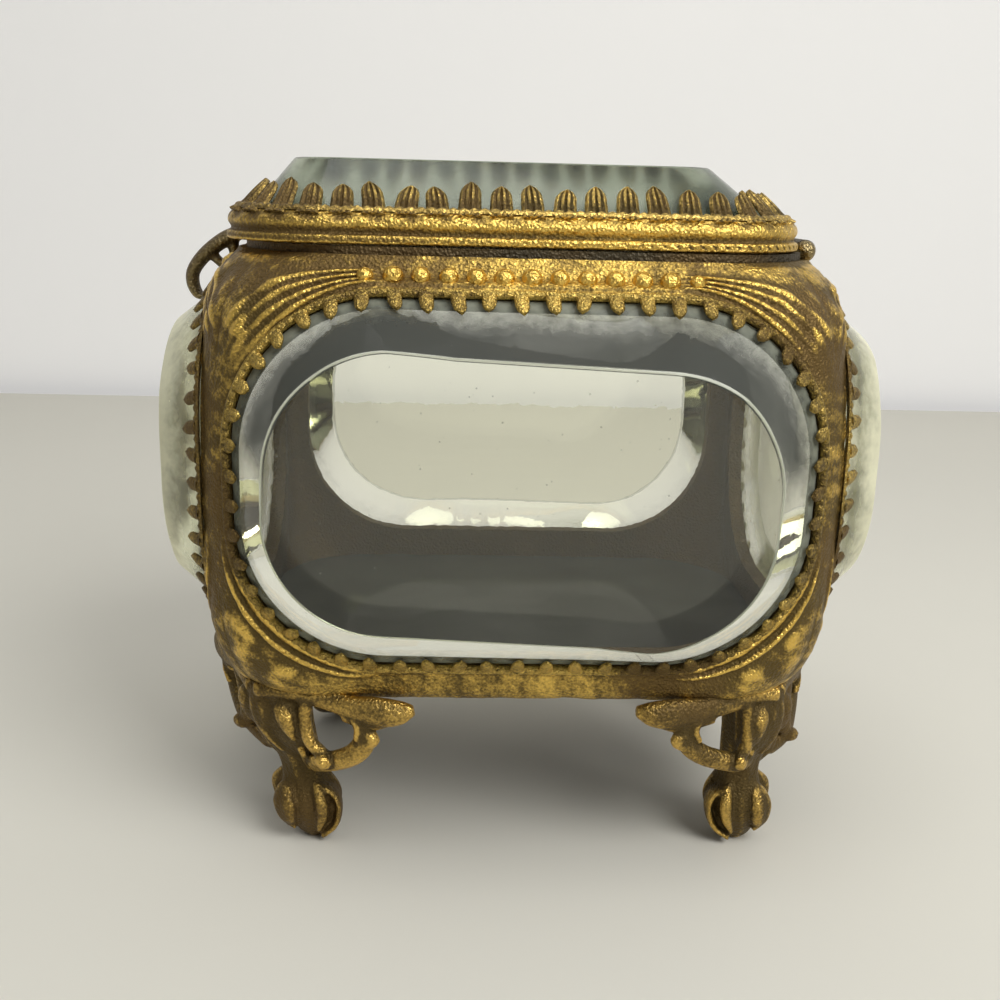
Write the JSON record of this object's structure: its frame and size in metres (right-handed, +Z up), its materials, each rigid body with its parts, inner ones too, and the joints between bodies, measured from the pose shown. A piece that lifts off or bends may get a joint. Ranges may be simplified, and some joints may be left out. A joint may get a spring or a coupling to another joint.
{
  "type": "glass casket box",
  "caption": "Small keepsake casket: gilt brass castings hold bevelled glass panes on curled feet, with a hinged glass lid and thumb-piece.",
  "frame": {"origin": "on the table, under the middle of the body castings", "axes": "+X along the long sides towards the hinge, +Y from the front to the rear, +Z up"},
  "size_m": [0.0817, 0.0628, 0.0797],
  "materials": {
    "gilt_brass": "aged gilding, brown in the hollows",
    "claw_brass": "darkened gilding on the claws",
    "dark_brass": "bare brass, dark patina",
    "pane_glass": "polished, thick bevel",
    "floor_glass": "polished, dusty"
  },
  "bodies": {
    "casket": {"front_side_frame": "gilt_brass", "front_glass": "pane_glass", "front_claw_strip": "claw_brass", "rear_side_frame": "gilt_brass", "rear_glass": "pane_glass", "rear_claw_strip": "claw_brass", "left_side_frame": "gilt_brass", "left_glass": "pane_glass", "left_claw_strip": "claw_brass", "right_side_frame": "gilt_brass", "right_glass": "pane_glass", "right_claw_strip": "claw_brass", "rim_collar": "dark_brass", "base_frame": "dark_brass", "base_glass": "floor_glass", "foot_screws": "dark_brass", "foot_front_left": "gilt_brass", "foot_front_right": "gilt_brass", "foot_rear_left": "gilt_brass", "foot_rear_right": "gilt_brass", "body_hinge_leaf": "dark_brass", "hinge_pin": "gilt_brass"},
    "lid": {"lid_frame": "gilt_brass", "lid_glass": "pane_glass", "lid_claw_strip": "claw_brass", "lid_hinge_leaf": "dark_brass", "thumb_piece": "dark_brass"}
  },
  "joints": [
    {"name": "lid_hinge", "type": "hinge", "parent": "casket", "child": "lid", "pos_m": [0.0321, 0, 0.0709], "axis": [0, 1, 0], "range_deg": [0, 105]}
  ]
}
